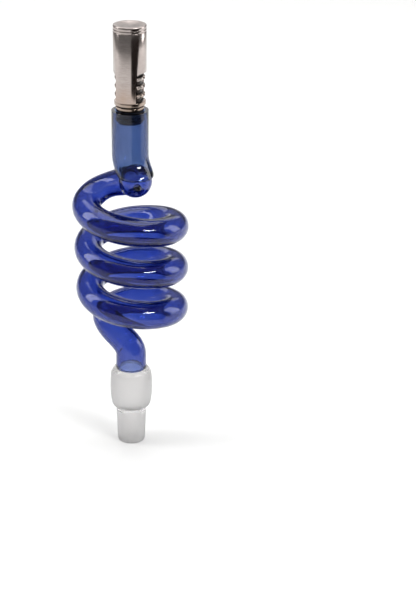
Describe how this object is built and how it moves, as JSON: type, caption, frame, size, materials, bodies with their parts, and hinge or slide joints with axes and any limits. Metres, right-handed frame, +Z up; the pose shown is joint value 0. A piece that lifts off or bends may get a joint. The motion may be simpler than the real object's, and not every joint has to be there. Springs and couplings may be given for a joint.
{
  "type": "coil condenser",
  "caption": "Hand-blown blue glass coil condenser with a male ground joint below and a capped steel tip in its top socket.",
  "frame": {"origin": "centre of the ground joint's lower end, on the joint's axis", "axes": "+Z up along the axis that the joint, stem, coil, socket, tip and cap share; -Y is the side that the drip tip points to"},
  "size_m": [0.0398, 0.0393, 0.1523],
  "materials": {
    "clear_glass": "clear borosilicate glass, ground matt on the two seats",
    "cobalt_glass": "deep cobalt blue blown glass, polished by flame",
    "grey_blue_glass": "paler steel-blue glass tube, flame polished",
    "turned_steel": "turned stainless steel, satin",
    "screen_steel": "pressed stainless steel",
    "cap_steel": "drawn stainless steel, brushed and lightly polished",
    "disc_metal": "rolled bimetal strip",
    "black_rubber": "black moulded rubber"
  },
  "bodies": {
    "glass": {"ground_joint": "clear_glass", "coil_tube": "cobalt_glass", "end_bulb": "cobalt_glass", "socket_tube": "grey_blue_glass"},
    "tip_seals": {"o_ring_lower": "black_rubber", "o_ring_upper": "black_rubber"},
    "tip": {"tip_body": "turned_steel", "screen": "screen_steel"},
    "snap_discs": {"snap_disc_lower": "disc_metal", "snap_disc_upper": "disc_metal"},
    "cap": {"cap_shell": "cap_steel", "retaining_clip": "turned_steel"}
  },
  "joints": [
    {"name": "tip_pull", "type": "slide", "parent": "glass", "child": "tip_seals", "axis": [0, 0, 1], "range_m": [0, 0.012]},
    {"name": "tip_turn", "type": "hinge", "parent": "tip_seals", "child": "tip", "pos_m": [0, 0, 0.121], "axis": [0, 0, 1], "continuous": true},
    {"name": "cap_lift", "type": "slide", "parent": "tip", "child": "snap_discs", "axis": [0, 0, 1], "range_m": [0, 0.026]},
    {"name": "cap_turn", "type": "hinge", "parent": "snap_discs", "child": "cap", "pos_m": [0, 0, 0.15], "axis": [0, 0, 1], "continuous": true}
  ]
}
